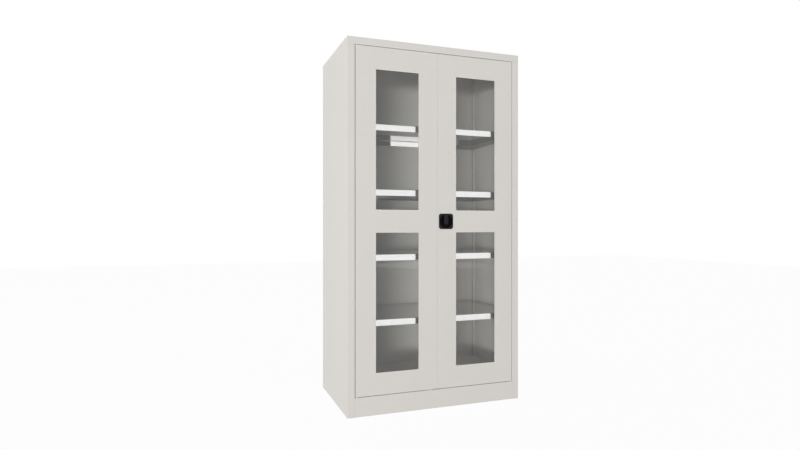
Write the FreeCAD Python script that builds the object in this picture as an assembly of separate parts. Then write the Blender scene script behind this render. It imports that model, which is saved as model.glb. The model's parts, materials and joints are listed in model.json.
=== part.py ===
import FreeCAD
import Part
import math
import os

# Overall size of the carcass, front face towards -Y
cabinet_width = 1000.0
cabinet_height = 1950.0
cabinet_depth = 590.0

# Sheet metal
carcass_sheet = 1.2
door_sheet = 1.0
shelf_sheet = 1.0
retainer_sheet = 1.0
inner_bend = 1.0

# Frame round the doors
stile_width = 40.0
header_height = 38.5
plinth_height = 100.0
reveal_depth = 22.5
stile_return = 20.0
header_upturn = 15.0
sill_upturn = 20.0
plinth_seam = 0.3
roof_rear_fold = 25.0
rear_flange = 30.0
foot_flange = 25.0

# Inside of the carcass
floor_rise = 25.0
floor_fold = 18.0
rear_recess = 32.0
shelf_setback = 24.0
shelf_rear_gap = 4.0
shelf_lip = 33.0
shelf_bend = 3.0
shelf_count = 4
lowest_shelf_share = 0.20013
shelf_pitch_share = 0.187247
shelf_end_gap = 0.5

# Slotted uprights and shelf clips
upright_width = 25.0
upright_depth = 10.0
front_upright_setback = 27.0
rear_upright_gap = 2.0
upright_head_room = 14.0
slots_per_bay = 10
slot_width = 5.0
slot_height = 14.0
clip_width = 12.0
clip_sheet = 1.5
clip_ledge = 11.0
clip_drop = 18.0
clip_tongue_reach = 4.0
clip_play = 0.5

# Doors
side_gap = 3.0
top_gap = 2.5
bottom_gap = 2.5
meeting_gap = 1.4
door_depth = 18.0
door_return = 14.0
door_edge_radius = 1.0

# Windows
window_corner = 3.0
meeting_stile = 109.5
hinge_stile = 109.5
bottom_rail = 116.3
mid_rail = 120.0
top_rail = 117.2
glass_thickness = 4.0
glass_overlap = 12.0
gasket_thickness = 2.0
gasket_setback = 1.5
gasket_width = 8.0
retainer_reveal = 2.0
glass_edge_play = 1.5
retainer_flange = 12.0
retainer_screws_per_side = 3
screw_head_radius = 3.5
screw_head_height = 1.6

# Pivot hinges
pivot_inset = 8.0
pivot_setback = 6.0
pin_radius = 3.0
pin_fit = 0.05
pin_reach = 11.0
pin_tail = 14.0
pin_collar_radius = 5.0
pin_collar_play = 0.3
bush_wall = 1.5
bush_flange_radius = 5.5
bush_flange_thickness = 1.2
bush_length = 11.0
bracket_width = 20.0
bracket_thickness = 3.0
hole_play = 0.1

# Door stiffening channels
stiffener_web = 26.0
stiffener_foot = 10.0
stiffener_depth = 14.0
stiffener_end_gap = 30.0
hinge_stiffener_inset = 50.0
meeting_stiffener_inset = 55.0

# Meeting edge, stops and buffers
seal_thickness = 1.3
seal_depth = 5.6
seal_recess = 0.2
seal_end_gap = 2.0
stop_width = 180.0
stop_thickness = 1.5
stop_drop = 14.0
buffer_width = 16.0
buffer_height = 9.0
buffer_play = 0.4
buffer_offset = 60.0

# Turning handle
handle_inset = 49.3
rosette_size = 84.0
rosette_corner = 14.0
rosette_proud = 2.0
rosette_edge = 1.2
dish_radius = 38.0
dish_depth = 10.5
dish_wall = 1.5
dish_fillet = 6.0
rosette_hole_play = 0.3
grip_width = 24.0
grip_proud = 5.0
grip_depth = 10.0
grip_edge = 3.0
grip_end_play = 1.5
grip_tail = 18.0
grip_boss_radius = 11.0
grip_floor_play = 0.3
cylinder_radius = 5.5
cylinder_length = 7.0
keyway_width = 1.4
keyway_height = 6.5
keyway_depth = 2.5

# Rod lock behind the handle
gear_module = 1.5
gear_teeth = 16
pressure_angle = 20.0
gear_backlash = 0.25
root_clearance = 0.375
spindle_square = 8.0
spindle_radius = 5.0
spindle_tail_radius = 4.0
spindle_tail_reach = 2.0
gear_play = 0.6
rod_thickness = 3.0
rod_width = 10.0
rod_play = 0.4
rack_teeth = 10
rod_tip_gap = 5.0
rod_slot_play = 0.8
case_sheet = 1.5
case_side_play = 1.5
case_height = 68.0
case_depth = 6.0
boss_radius = 4.0
boss_spacing = 52.0
case_screw_radius = 2.0
guide_margin = 7.0
guide_height = 20.0
guide_backing = 2.0
guide_near_share = 0.277
guide_far_share = 0.72

# Foot bolt of the left door
bolt_offset = 40.0
bolt_width = 7.0
bolt_thickness = 3.0
bolt_setback = 3.5
bolt_tip_gap = 2.0
bolt_length = 190.0
bolt_play = 0.3
bolt_knob_radius = 5.0
bolt_knob_length = 14.0
bolt_knob_drop = 12.0
bolt_guide_width = 20.0
bolt_guide_height = 18.0
bolt_guide_backing = 2.5
bolt_guide_low = 30.0
bolt_guide_high = 130.0
strike_width = 11.0
strike_depth = 9.4
strike_flange = 2.0
strike_length = 10.0
strike_wall = 1.2

# Room that every cut runs past the solid that it cuts
overrun = 5.0

# Places that follow from the sizes above
half_width = cabinet_width / 2
front = (grip_proud - cabinet_depth) / 2
rear = front + cabinet_depth
wall_inside = half_width - carcass_sheet
opening_half = half_width - stile_width
header_underside = cabinet_height - header_height
roof_underside = cabinet_height - carcass_sheet
rear_inside = rear - carcass_sheet
stop_face = front + reveal_depth
back_face = rear - rear_recess
floor_top = plinth_height + floor_rise
inside_height = roof_underside - floor_top
lowest_shelf_height = floor_top + inside_height * lowest_shelf_share
shelf_pitch = inside_height * shelf_pitch_share
door_bottom = plinth_height + bottom_gap
door_top = header_underside - top_gap
door_meeting = meeting_gap / 2
door_outer = opening_half - side_gap
door_rear = front + door_depth
skin_back = front + door_sheet
pivot_x = door_outer - pivot_inset
pivot_y = front + pivot_setback
window_inner = door_meeting + meeting_stile
window_outer = door_outer - hinge_stile
window_height = (door_top - door_bottom - bottom_rail - mid_rail - top_rail) / 2
lower_window_bottom = door_bottom + bottom_rail
upper_window_bottom = lower_window_bottom + window_height + mid_rail
glass_front = skin_back + gasket_thickness
glass_rear = glass_front + glass_thickness
handle_x = door_meeting + handle_inset
handle_z = lower_window_bottom + window_height + mid_rail / 2
dish_floor = front - rosette_proud + dish_depth
dish_back = dish_floor + dish_wall
gear_front = dish_back + gear_play
pitch_radius = gear_module * gear_teeth / 2
rod_front = gear_front + rod_play
case_back = dish_back + case_depth
bolt_x = -(door_meeting + bolt_offset)
bolt_front = front + bolt_setback
shelf_tops = [lowest_shelf_height + shelf_pitch * step for step in reversed(range(shelf_count))]
upright_inside = wall_inside - upright_depth
slot_pitch = shelf_pitch / slots_per_bay


def vec(x, y, z):
    return FreeCAD.Vector(x, y, z)


def box(x0, x1, y0, y1, z0, z1):
    """Box between two corners."""
    return Part.makeBox(x1 - x0, y1 - y0, z1 - z0, vec(x0, y0, z0))


def rod(radius, start, end):
    """Round bar from one point to another."""
    way = end - start
    return Part.makeCylinder(radius, way.Length, start, way)


def mirrored(shape):
    """The same piece on the other side of the middle plane."""
    return shape.mirror(vec(0, 0, 0), vec(1, 0, 0))


def filleted_points(points, radii):
    """Edges of an open polyline whose inner corners are rounded with the given radii."""
    edges = []
    last = points[0]
    for before, corner, after, radius in zip(points, points[1:], points[2:], radii):
        into = (corner - before).normalize()
        out = (after - corner).normalize()
        turn = into.getAngle(out)
        reach = radius * math.tan(turn / 2)
        start = corner - into * reach
        end = corner + out * reach
        middle = (out - into).normalize()
        centre = corner + middle * (radius / math.cos(turn / 2))
        edges.append(Part.makeLine(last, start))
        edges.append(Part.Arc(start, centre - middle * radius, end).toShape())
        last = end
    edges.append(Part.makeLine(last, points[-1]))
    return edges


def folded_sheet(path, sheet, normal, length):
    """Sheet bent along a path that is its outer face, with the metal to the right of the way along it.

    The path lies in a plane, normal points out of that plane and length is the run along normal."""
    ways = [(b - a).normalize() for a, b in zip(path, path[1:])]
    sides = [way.cross(normal).normalize() for way in ways]
    offset = [path[0] + sides[0] * sheet]
    outer_radii = []
    offset_radii = []
    for corner, side, next_side, way in zip(path[1:], sides, sides[1:], ways):
        offset.append(corner + (side + next_side) * (sheet / (1 + side.dot(next_side))))
        towards_metal = way.dot(next_side) < 0
        outer_radii.append(inner_bend + sheet if towards_metal else inner_bend)
        offset_radii.append(inner_bend if towards_metal else inner_bend + sheet)
    offset.append(path[-1] + sides[-1] * sheet)
    edges = filleted_points(path, outer_radii)
    edges.append(Part.makeLine(path[-1], offset[-1]))
    edges += filleted_points(offset[::-1], offset_radii[::-1])
    edges.append(Part.makeLine(offset[0], path[0]))
    face = Part.Face(Part.Wire(Part.__sortEdges__(edges)))
    return face.extrude(normal * length)


def window_box(side, bottom, grow, y0, y1):
    """Box in the shape of a window, grown all round; side is 1 for the right door and -1 for the left."""
    block = box(window_inner - grow, window_outer + grow, y0, y1,
                bottom - grow, bottom + window_height + grow)
    return block if side > 0 else mirrored(block)


def window_ring(side, bottom, outer, inner, y0, y1):
    """Frame round a window between two growths of its outline."""
    hole = window_box(side, bottom, inner, y0 - overrun, y1 + overrun)
    return window_box(side, bottom, outer, y0, y1).cut(hole)


# Carcass

def side_panel():
    """Left wall with its front stile folded into a channel, a rear flange and a foot flange."""
    path = [vec(stile_return - half_width, stop_face, 0), vec(-opening_half, stop_face, 0),
            vec(-opening_half, front, 0), vec(-half_width, front, 0),
            vec(-half_width, rear, 0), vec(rear_flange - half_width, rear, 0)]
    panel = folded_sheet(path, carcass_sheet, vec(0, 0, 1), header_underside)
    crown = box(-half_width, -wall_inside, front + carcass_sheet, rear_inside,
                header_underside - overrun, roof_underside)
    crown = crown.cut(box(-cabinet_width, 0, front, front + carcass_sheet + inner_bend,
                          roof_underside - inner_bend, cabinet_height))
    crown = crown.cut(box(-cabinet_width, 0, rear_inside - inner_bend, rear,
                          roof_underside - inner_bend, cabinet_height))
    crown = crown.cut(box(-cabinet_width, 0, front, stop_face + overrun,
                          header_underside - overrun, header_underside))
    corner_top = cabinet_height - roof_rear_fold - plinth_seam
    crown = crown.cut(box(-cabinet_width, 0, rear_inside - inner_bend, rear,
                          header_underside - overrun, corner_top))
    corner_path = [vec(-half_width, rear - rear_flange, header_underside),
                   vec(-half_width, rear, header_underside),
                   vec(rear_flange - half_width, rear, header_underside)]
    corner = folded_sheet(corner_path, carcass_sheet, vec(0, 0, 1), corner_top - header_underside)
    foot_start = stop_face + overrun
    foot_end = rear - rear_flange
    foot_path = [vec(-half_width, foot_start, plinth_height), vec(-half_width, foot_start, 0),
                 vec(foot_flange - half_width, foot_start, 0)]
    foot = folded_sheet(foot_path, carcass_sheet, vec(0, 1, 0), foot_end - foot_start)
    bend_outside = inner_bend + carcass_sheet
    notch = box(-half_width - overrun, bend_outside - half_width, foot_start, foot_end,
                -overrun, bend_outside)
    return panel.cut(notch).fuse([crown, corner, foot]).removeSplitter()


def top_panel():
    """Roof sheet with the header folded down in front and a shorter fold behind."""
    path = [vec(-half_width, stop_face, header_underside + header_upturn),
            vec(-half_width, stop_face, header_underside), vec(-half_width, front, header_underside),
            vec(-half_width, front, cabinet_height), vec(-half_width, rear, cabinet_height),
            vec(-half_width, rear, cabinet_height - roof_rear_fold)]
    panel = folded_sheet(path, carcass_sheet, vec(1, 0, 0), cabinet_width)
    for x0, x1 in ((-cabinet_width, -wall_inside), (wall_inside, cabinet_width)):
        panel = panel.cut(box(x0, x1, front + carcass_sheet, stop_face + overrun,
                              header_underside - overrun, roof_underside - inner_bend))
    for x in (-pivot_x, pivot_x):
        panel = panel.cut(bush_hole(x, header_underside))
    slot = rod_slot(handle_x - pitch_radius - rack_offset(), header_underside)
    return panel.cut(slot)


def front_plinth():
    """Plinth front between the stiles, with its foot flange, the sill and the stop turned up behind it."""
    start = plinth_seam - opening_half
    path = [vec(start, front + foot_flange, 0), vec(start, front, 0), vec(start, front, plinth_height),
            vec(start, stop_face - carcass_sheet, plinth_height),
            vec(start, stop_face - carcass_sheet, plinth_height + sill_upturn)]
    plinth = folded_sheet(path, carcass_sheet, vec(1, 0, 0), (opening_half - plinth_seam) * 2)
    for x in (-pivot_x, pivot_x):
        plinth = plinth.cut(bush_hole(x, plinth_height))
    plinth = plinth.cut(rod_slot(handle_x + pitch_radius + rack_offset(), plinth_height))
    return plinth.cut(strike_hole())


def bush_hole(x, z):
    """Cut for a hinge bush through the header or the sill."""
    radius = pin_radius + pin_fit + bush_wall + hole_play
    return rod(radius, vec(x, pivot_y, z - overrun), vec(x, pivot_y, z + overrun))


def rack_offset():
    """Distance from the pitch line of a rack to the middle of its rod."""
    return gear_module + root_clearance + rod_width / 2


def rod_slot(x, z):
    """Cut that lets a lock rod through a fold."""
    half = rod_width / 2 + rod_slot_play
    return box(x - half, x + half, rod_front - rod_slot_play, rod_front + rod_thickness + rod_slot_play,
               z - overrun, z + overrun)


def strike_hole():
    """Cut in the sill for the barrel of the bolt's strike."""
    half = bolt_width / 2 + bolt_play + strike_wall + hole_play
    y0 = bolt_front - bolt_play - strike_wall - hole_play
    y1 = bolt_front + bolt_thickness + bolt_play + strike_wall + hole_play
    return box(bolt_x - half, bolt_x + half, y0, y1, plinth_height - overrun, plinth_height + overrun)


def rear_plinth():
    """Rear plinth sheet with flanges at its foot and head."""
    start = inner_bend - wall_inside
    path = [vec(start, rear_inside - foot_flange, plinth_height), vec(start, rear_inside, plinth_height),
            vec(start, rear_inside, 0), vec(start, rear_inside - foot_flange, 0)]
    plinth = folded_sheet(path, carcass_sheet, vec(1, 0, 0), -start * 2)
    foot_room = foot_flange + overrun
    for x0, x1 in ((-wall_inside, foot_room - half_width), (half_width - foot_room, wall_inside)):
        plinth = plinth.cut(box(x0, x1, front, rear_inside - carcass_sheet - inner_bend,
                                -overrun, carcass_sheet + inner_bend))
    return plinth


def downward_tray(x0, x1, y0, y1, top, drop, sheet, bend):
    """Sheet with its four edges folded down and rounded."""
    tray = box(x0, x1, y0, y1, top - drop, top)
    rim = [edge for edge in tray.Edges if edge.BoundBox.ZMin > top - sheet]
    tray = tray.makeFillet(bend + sheet, rim)
    hollow = box(x0 + sheet, x1 - sheet, y0 + sheet, y1 - sheet, top - drop - overrun, top - sheet)
    rim = [edge for edge in hollow.Edges if edge.BoundBox.ZMin > top - sheet - bend]
    return tray.cut(hollow.makeFillet(bend, rim))


def floor_panel():
    """Floor sheet behind the stop of the sill."""
    return downward_tray(-wall_inside, wall_inside, stop_face, back_face,
                         floor_top, floor_fold, carcass_sheet, inner_bend)


def back_panel():
    """Back panel, a pan whose rims run back to the rear flanges."""
    pan = box(-wall_inside, wall_inside, back_face, rear_inside, plinth_height, roof_underside)
    rim = [edge for edge in pan.Edges if edge.BoundBox.YMax < back_face + carcass_sheet]
    pan = pan.makeFillet(inner_bend + carcass_sheet, rim)
    hollow = box(carcass_sheet - wall_inside, wall_inside - carcass_sheet, back_face + carcass_sheet,
                 rear + overrun, plinth_height + carcass_sheet, roof_underside - carcass_sheet)
    rim = [edge for edge in hollow.Edges if edge.BoundBox.YMax < back_face + carcass_sheet + inner_bend]
    pan = pan.cut(hollow.makeFillet(inner_bend, rim))
    corner = inner_bend + carcass_sheet
    for x0, x1 in ((-cabinet_width, corner - wall_inside), (wall_inside - corner, cabinet_width)):
        pan = pan.cut(box(x0, x1, rear_inside - inner_bend, rear, plinth_height, roof_underside))
    return pan.cut(box(-cabinet_width, cabinet_width, rear_inside - inner_bend, rear,
                       roof_underside - inner_bend, cabinet_height))


def upright(y0):
    """Slotted channel on the left wall that the shelf clips hook into."""
    top = roof_underside - upright_head_room
    path = [vec(-wall_inside, y0 + upright_width, floor_top),
            vec(-upright_inside, y0 + upright_width, floor_top),
            vec(-upright_inside, y0, floor_top), vec(-wall_inside, y0, floor_top)]
    channel = folded_sheet(path, carcass_sheet, vec(0, 0, 1), top - floor_top)
    base = lowest_shelf_height - shelf_lip - clip_drop / 2
    first = math.ceil((floor_top + slot_height - base) / slot_pitch)
    last = math.floor((top - slot_height - base) / slot_pitch)
    middle = y0 + upright_width / 2
    slots = [box(-upright_inside - carcass_sheet - overrun, overrun - upright_inside,
                 middle - slot_width / 2, middle + slot_width / 2,
                 base + slot_pitch * step - slot_height / 2, base + slot_pitch * step + slot_height / 2)
             for step in range(first, last + 1)]
    return channel.cut(Part.makeCompound(slots))


def upright_places():
    """Front faces of the front and the rear upright."""
    return front + front_upright_setback, back_face - rear_upright_gap - upright_width


def shelf(top):
    """Bright folded shelf, open below."""
    half = upright_inside - shelf_end_gap
    y0 = front + shelf_setback
    return downward_tray(-half, half, y0, back_face - shelf_rear_gap, top,
                         shelf_lip, shelf_sheet, shelf_bend)


def shelf_clip(y0, top):
    """Clip on a left upright: a plate on its web, a ledge under the shelf and a tongue in a slot."""
    middle = y0 + upright_width / 2
    ledge_top = top - shelf_lip
    y0 = middle - clip_width / 2
    y1 = middle + clip_width / 2
    plate = box(-upright_inside, clip_sheet - upright_inside, y0, y1,
                ledge_top - clip_drop, ledge_top)
    ledge = box(-upright_inside, clip_ledge - upright_inside, y0, y1,
                ledge_top - clip_sheet, ledge_top)
    slot_middle = ledge_top - clip_drop / 2
    tongue = box(-upright_inside - clip_tongue_reach, clip_sheet - upright_inside,
                 middle - slot_width / 2 + clip_play, middle + slot_width / 2 - clip_play,
                 slot_middle - slot_height / 2 + clip_play, slot_middle + slot_height / 2 - clip_play)
    return plate.fuse([ledge, tongue]).removeSplitter()


def shelf_clips():
    left = [shelf_clip(y0, top) for top in shelf_tops for y0 in upright_places()]
    return Part.makeCompound(left + [mirrored(clip) for clip in left])


def hinge_bush(x, seat, way):
    """Flanged bush; way is 1 where its barrel runs up from the seat and -1 where it runs down."""
    barrel = pin_radius + pin_fit + bush_wall
    bush = rod(barrel, vec(x, pivot_y, seat), vec(x, pivot_y, seat + way * bush_length))
    flange = rod(bush_flange_radius, vec(x, pivot_y, seat),
                 vec(x, pivot_y, seat - way * bush_flange_thickness))
    bore = rod(pin_radius + pin_fit, vec(x, pivot_y, seat - way * (bush_flange_thickness + overrun)),
               vec(x, pivot_y, seat + way * (bush_length + overrun)))
    return bush.fuse(flange).cut(bore).removeSplitter()


def hinge_bushes():
    places = (-pivot_x, pivot_x)
    upper = [hinge_bush(x, header_underside, 1) for x in places]
    lower = [hinge_bush(x, plinth_height, -1) for x in places]
    return Part.makeCompound(upper + lower)


def top_stop():
    """Flat bar behind the header's upturn that the tops of the doors close towards."""
    half = stop_width / 2
    bar = box(-half, half, stop_face, stop_face + stop_thickness,
              header_underside - stop_drop, header_underside + header_upturn)
    ends = [edge for edge in bar.Edges
            if edge.BoundBox.YLength > 0 and edge.BoundBox.ZMax < header_underside]
    return bar.makeFillet(stop_drop / 2, [edge for edge in ends if edge.BoundBox.XLength < overrun])


def door_buffers():
    """Rubber blocks between the doors and the stops, two above and two below."""
    pads = []
    upper = header_underside - stop_drop
    lower = plinth_height + sill_upturn - buffer_height
    for x in (-buffer_offset, buffer_offset):
        x0 = x - buffer_width / 2
        x1 = x + buffer_width / 2
        pads.append(box(x0, x1, door_rear + buffer_play, stop_face, upper, upper + buffer_height))
        pads.append(box(x0, x1, door_rear + buffer_play, stop_face - carcass_sheet,
                        lower, lower + buffer_height))
    return Part.makeCompound(pads)


def bolt_strike():
    """White nylon strike in the sill under the foot bolt."""
    middle = bolt_front + bolt_thickness / 2
    flange = box(bolt_x - strike_width / 2, bolt_x + strike_width / 2, middle - strike_depth / 2,
                 middle + strike_depth / 2, plinth_height, plinth_height + strike_flange)
    half = bolt_width / 2 + bolt_play
    barrel = box(bolt_x - half - strike_wall, bolt_x + half + strike_wall,
                 bolt_front - bolt_play - strike_wall, bolt_front + bolt_thickness + bolt_play + strike_wall,
                 plinth_height - strike_length, plinth_height)
    hole = box(bolt_x - half, bolt_x + half, bolt_front - bolt_play, bolt_front + bolt_thickness + bolt_play,
               plinth_height - strike_length - overrun, plinth_height + strike_flange + overrun)
    return flange.fuse(barrel).cut(hole).removeSplitter()


# Doors

def door_pan(side):
    """Door skin with its edges folded back and in, its windows cut out and its hinge holes."""
    pan = box(door_meeting, door_outer, front, door_rear, door_bottom, door_top)
    rim = [edge for edge in pan.Edges if edge.BoundBox.YMax < front + door_sheet]
    pan = pan.makeFillet(door_edge_radius, rim)
    pan = pan.cut(box(door_meeting + door_sheet, door_outer - door_sheet, skin_back, door_rear - door_sheet,
                      door_bottom + door_sheet, door_top - door_sheet))
    edge_width = door_sheet + door_return
    pan = pan.cut(box(door_meeting + edge_width, door_outer - edge_width, front + door_depth / 2,
                      door_rear + overrun, door_bottom + edge_width, door_top - edge_width))
    for z in (door_bottom, door_top):
        pan = pan.cut(rod(pin_radius + hole_play, vec(pivot_x, pivot_y, z - overrun),
                          vec(pivot_x, pivot_y, z + overrun)))
    if side < 0:
        pan = mirrored(pan)
    for bottom in (lower_window_bottom, upper_window_bottom):
        cutter = window_box(side, bottom, 0, front - overrun, skin_back + overrun)
        upright_edges = [edge for edge in cutter.Edges if edge.BoundBox.YLength > door_sheet]
        pan = pan.cut(cutter.makeFillet(window_corner, upright_edges))
    return pan


def left_door_pan():
    half = bolt_width / 2 + bolt_play
    slot = box(bolt_x - half, bolt_x + half, bolt_front - bolt_play, bolt_front + bolt_thickness + bolt_play,
               door_bottom - overrun, door_bottom + overrun)
    return door_pan(-1).cut(slot)


def right_door_pan():
    pan = door_pan(1)
    pan = pan.cut(rod(dish_radius + dish_wall + rosette_hole_play, vec(handle_x, front - overrun, handle_z),
                      vec(handle_x, skin_back + overrun, handle_z)))
    pan = pan.cut(rod_slot(handle_x - pitch_radius - rack_offset(), door_top))
    return pan.cut(rod_slot(handle_x + pitch_radius + rack_offset(), door_bottom))


def glass(side, bottom):
    """Clear pane behind the skin."""
    return window_box(side, bottom, glass_overlap, glass_front, glass_rear)


def gasket(side, bottom):
    """Rubber frame between the skin and the pane."""
    return window_ring(side, bottom, gasket_setback + gasket_width, gasket_setback, skin_back, glass_front)


def retainer_edge():
    """Growth of the window outline at the outer face of the retainer's wall."""
    return glass_overlap + glass_edge_play + retainer_sheet


def retainer(side, bottom):
    """Frame of stepped sheet that holds the pane against its gasket."""
    wall = retainer_edge()
    lip = window_ring(side, bottom, wall, retainer_reveal, glass_rear, glass_rear + retainer_sheet)
    rim = window_ring(side, bottom, wall, wall - retainer_sheet, skin_back, glass_rear + retainer_sheet)
    flange = window_ring(side, bottom, wall + retainer_flange, wall - retainer_sheet,
                         skin_back, skin_back + retainer_sheet)
    return lip.fuse([rim, flange]).removeSplitter()


def retainer_screws(side):
    """Round-headed screws on the flanges of both retainers of a door."""
    heads = []
    inset = retainer_edge() + retainer_flange / 2
    seat = skin_back + retainer_sheet
    left = window_inner - inset
    right = window_outer + inset
    for bottom in (lower_window_bottom, upper_window_bottom):
        for step in range(retainer_screws_per_side):
            z = bottom + window_height * (step + 1) / (retainer_screws_per_side + 1)
            for x in (left, right):
                heads.append(screw_head(side * x, seat, z))
    return Part.makeCompound(heads)


def screw_head(x, seat, z):
    """Low round head that stands on a face towards the rear."""
    head = rod(screw_head_radius, vec(x, seat, z), vec(x, seat + screw_head_height, z))
    rim = [edge for edge in head.Edges if edge.BoundBox.YMin > seat + screw_head_height / 2]
    return head.makeFillet(screw_head_height / 2, rim)


def hinge_pin(side, fold, way):
    """Pin through a fold of the door into its bush; way is 1 for the upper pin and -1 for the lower."""
    x = side * pivot_x
    pin = rod(pin_radius, vec(x, pivot_y, fold - way * pin_tail), vec(x, pivot_y, fold + way * pin_reach))
    tip = [edge for edge in pin.Edges if abs(edge.BoundBox.ZMax - fold - way * pin_reach) < pin_fit]
    return pin.makeChamfer(pin_radius / 3, tip)


def hinge_pins(side):
    collar_height = bottom_gap - bush_flange_thickness - pin_collar_play
    lower = hinge_pin(side, door_bottom, -1)
    x = side * pivot_x
    collar = rod(pin_collar_radius, vec(x, pivot_y, door_bottom - collar_height),
                 vec(x, pivot_y, door_bottom))
    return Part.makeCompound([hinge_pin(side, door_top, 1), lower.fuse(collar).removeSplitter()])


def hinge_brackets(side):
    """Plates inside the corners of the door that hold the pins."""
    plates = []
    outer = door_outer - door_sheet
    low = door_bottom + door_sheet
    high = door_top - door_sheet - bracket_thickness
    for z in (low, high):
        plate = box(outer - bracket_width, outer, skin_back, door_rear - door_sheet,
                    z, z + bracket_thickness)
        hole = rod(pin_radius + hole_play, vec(pivot_x, pivot_y, z - overrun),
                   vec(pivot_x, pivot_y, z + bracket_thickness + overrun))
        plate = plate.cut(hole)
        plates.append(plate if side > 0 else mirrored(plate))
    return Part.makeCompound(plates)


def stiffener(middle, z0, z1):
    """Hat channel on the back of the door skin."""
    half = stiffener_web / 2
    far = half + stiffener_foot
    web = skin_back + stiffener_depth
    path = [vec(middle + far, skin_back, z0), vec(middle + half, skin_back, z0), vec(middle + half, web, z0),
            vec(middle - half, web, z0), vec(middle - half, skin_back, z0), vec(middle - far, skin_back, z0)]
    return folded_sheet(path, door_sheet, vec(0, 0, 1), z1 - z0)


def hinge_stiffener(side):
    return stiffener(side * (door_outer - hinge_stiffener_inset), door_bottom + stiffener_end_gap,
                     door_top - stiffener_end_gap)


def left_meeting_stiffener():
    low = door_bottom + bolt_tip_gap + bolt_length + stiffener_end_gap
    return stiffener(-(door_meeting + meeting_stiffener_inset), low, door_top - stiffener_end_gap)


def meeting_seal():
    """Strip on the meeting edge of the left door that closes the gap."""
    return box(-door_meeting, seal_thickness - door_meeting,
               front + seal_recess, front + seal_recess + seal_depth,
               door_bottom + seal_end_gap, door_top - seal_end_gap)


# Foot bolt of the left door

def foot_bolt():
    """Flat bolt with a knob, drawn up clear of the sill."""
    tip = door_bottom + bolt_tip_gap
    bar = box(bolt_x - bolt_width / 2, bolt_x + bolt_width / 2, bolt_front, bolt_front + bolt_thickness,
              tip, tip + bolt_length)
    knob_z = tip + bolt_length - bolt_knob_drop
    knob_back = bolt_front + bolt_thickness + bolt_knob_length
    knob = rod(bolt_knob_radius, vec(bolt_x, bolt_front + bolt_thickness / 2, knob_z),
               vec(bolt_x, knob_back, knob_z))
    rim = [edge for edge in knob.Edges if edge.BoundBox.YMin > knob_back - bolt_thickness / 2]
    knob = knob.makeFillet(bolt_knob_radius / 3, rim)
    bar_room = box(bolt_x - bolt_width, bolt_x + bolt_width, front, bolt_front + bolt_thickness,
                   tip, tip + bolt_length)
    return bar.fuse(knob.cut(bar_room))


def bolt_guides():
    """Two blocks on the door skin that guide the bolt."""
    blocks = []
    for rise in (bolt_guide_low, bolt_guide_high):
        z0 = door_bottom + rise
        block = box(bolt_x - bolt_guide_width / 2, bolt_x + bolt_guide_width / 2, skin_back,
                    bolt_front + bolt_thickness + bolt_play + bolt_guide_backing, z0, z0 + bolt_guide_height)
        half = bolt_width / 2 + bolt_play
        blocks.append(block.cut(box(bolt_x - half, bolt_x + half, bolt_front - bolt_play,
                                    bolt_front + bolt_thickness + bolt_play,
                                    z0 - overrun, z0 + bolt_guide_height + overrun)))
    return Part.makeCompound(blocks)


# Handle and rod lock of the right door

def rosette_plate():
    """Square plate with rounded corners and a softened front edge."""
    half = rosette_size / 2
    plate = box(handle_x - half, handle_x + half, front - rosette_proud, front,
                handle_z - half, handle_z + half)
    corners = [edge for edge in plate.Edges if edge.BoundBox.YLength > rosette_proud / 2]
    plate = plate.makeFillet(rosette_corner, corners)
    rim = [edge for edge in plate.Edges if edge.BoundBox.YMax < front - rosette_proud / 2]
    return plate.makeFillet(rosette_edge, rim)


def dish_profile(radius, floor, fillet):
    """Solid of the dish out to one radius, with its floor rounded into its wall."""
    mouth = front - rosette_proud
    half_turn = math.sqrt(2) / 2
    bend_centre_x = radius - fillet
    bend_centre_y = floor - fillet
    points = [vec(0, mouth, 0), vec(radius, mouth, 0), vec(radius, bend_centre_y, 0)]
    middle = vec(bend_centre_x + fillet * half_turn, bend_centre_y + fillet * half_turn, 0)
    bend = Part.Arc(points[-1], middle, vec(bend_centre_x, floor, 0)).toShape()
    edges = [Part.makeLine(points[0], points[1]), Part.makeLine(points[1], points[2]), bend,
             Part.makeLine(vec(bend_centre_x, floor, 0), vec(0, floor, 0)),
             Part.makeLine(vec(0, floor, 0), points[0])]
    solid = Part.Face(Part.Wire(edges)).revolve(vec(0, 0, 0), vec(0, 1, 0), 360)
    solid.translate(vec(handle_x, 0, handle_z))
    return solid


def handle_rosette():
    """Rosette with its round finger dish and the bosses that carry the lock case."""
    shell = rosette_plate().fuse(dish_profile(dish_radius + dish_wall, dish_back, dish_fillet + dish_wall))
    shell = shell.cut(dish_profile(dish_radius, dish_floor, dish_fillet))
    bosses = [rod(boss_radius, vec(handle_x, dish_floor, z), vec(handle_x, case_back - case_sheet, z))
              for z in boss_heights()]
    shell = shell.fuse(bosses)
    for z in boss_heights():
        shell = shell.cut(rod(case_screw_radius + hole_play, vec(handle_x, dish_back, z),
                              vec(handle_x, case_back + overrun, z)))
    hole = rod(spindle_radius + pin_fit, vec(handle_x, front, handle_z),
               vec(handle_x, dish_back + overrun, handle_z))
    return shell.cut(hole).removeSplitter()


def boss_heights():
    return handle_z - boss_spacing / 2, handle_z + boss_spacing / 2


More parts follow.
